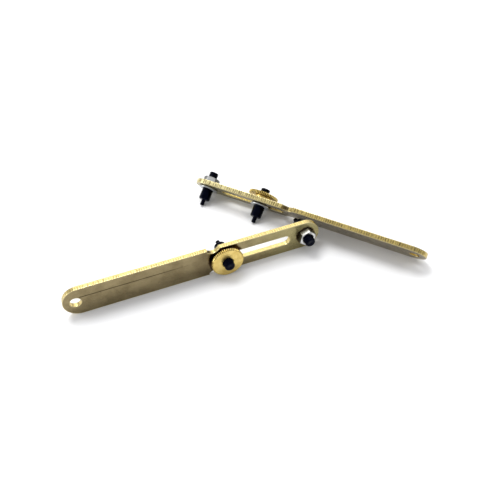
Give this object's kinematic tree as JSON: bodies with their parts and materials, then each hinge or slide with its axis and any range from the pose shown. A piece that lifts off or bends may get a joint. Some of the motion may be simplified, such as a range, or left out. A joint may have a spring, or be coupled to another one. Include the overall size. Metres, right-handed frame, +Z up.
{
  "type": "adjustable pin spanner pair",
  "caption": "Flat brass face spanners with a fixed end pin, a pin that slides in a slot and a knurled thumb nut, laid crossing each other.",
  "frame": {"origin": "on the floor, under the middle of the pair's overall footprint", "axes": "+Z up; X along the front spanner's bar, its handle toward -X and its pin end toward +X; the front spanner's nuts face -Y"},
  "size_m": [0.1374, 0.0786, 0.0131],
  "materials": {
    "bar_brass": "satin, drawn bar with fine lengthwise grain",
    "thumb_brass": "bright turned and knurled",
    "black_steel": "black oxide, turned",
    "nut_steel": "zinc plated",
    "washer_steel": "dull zinc plated"
  },
  "bodies": {
    "front_frame": {"front_bar": "bar_brass", "front_end_pin": "black_steel", "front_end_washer": "washer_steel", "front_end_nut": "nut_steel"},
    "front_slider": {"front_sliding_pin": "black_steel", "front_sliding_washer": "washer_steel"},
    "front_thumb": {"front_thumb_nut": "thumb_brass"},
    "rear_frame": {"rear_bar": "bar_brass", "rear_end_pin": "black_steel", "rear_end_washer": "washer_steel", "rear_end_nut": "nut_steel"},
    "rear_slider": {"rear_sliding_pin": "black_steel", "rear_sliding_washer": "washer_steel"},
    "rear_thumb": {"rear_thumb_nut": "thumb_brass"}
  },
  "joints": [
    {"name": "rear_lift", "type": "slide", "parent": "front_frame", "child": "rear_frame", "axis": [0, 0, 1], "range_m": [0, 0.1]},
    {"name": "front_pin_slide", "type": "slide", "parent": "front_frame", "child": "front_slider", "axis": [1, 0, 0], "range_m": [0, 0.0235]},
    {"name": "front_thumb_nut_turn", "type": "hinge", "parent": "front_slider", "child": "front_thumb", "pos_m": [-0.0056, -0.01119, 0.00647], "axis": [0, -0.9991, 0.0431], "continuous": true},
    {"name": "rear_pin_slide", "type": "slide", "parent": "rear_frame", "child": "rear_slider", "axis": [-0.6691, 0.7431, 0], "range_m": [-0.0089, 0.0147]},
    {"name": "rear_thumb_nut_turn", "type": "hinge", "parent": "rear_slider", "child": "rear_thumb", "pos_m": [0.02054, 0.01627, 0.00688], "axis": [0.6182, 0.5566, 0.5549], "continuous": true}
  ]
}
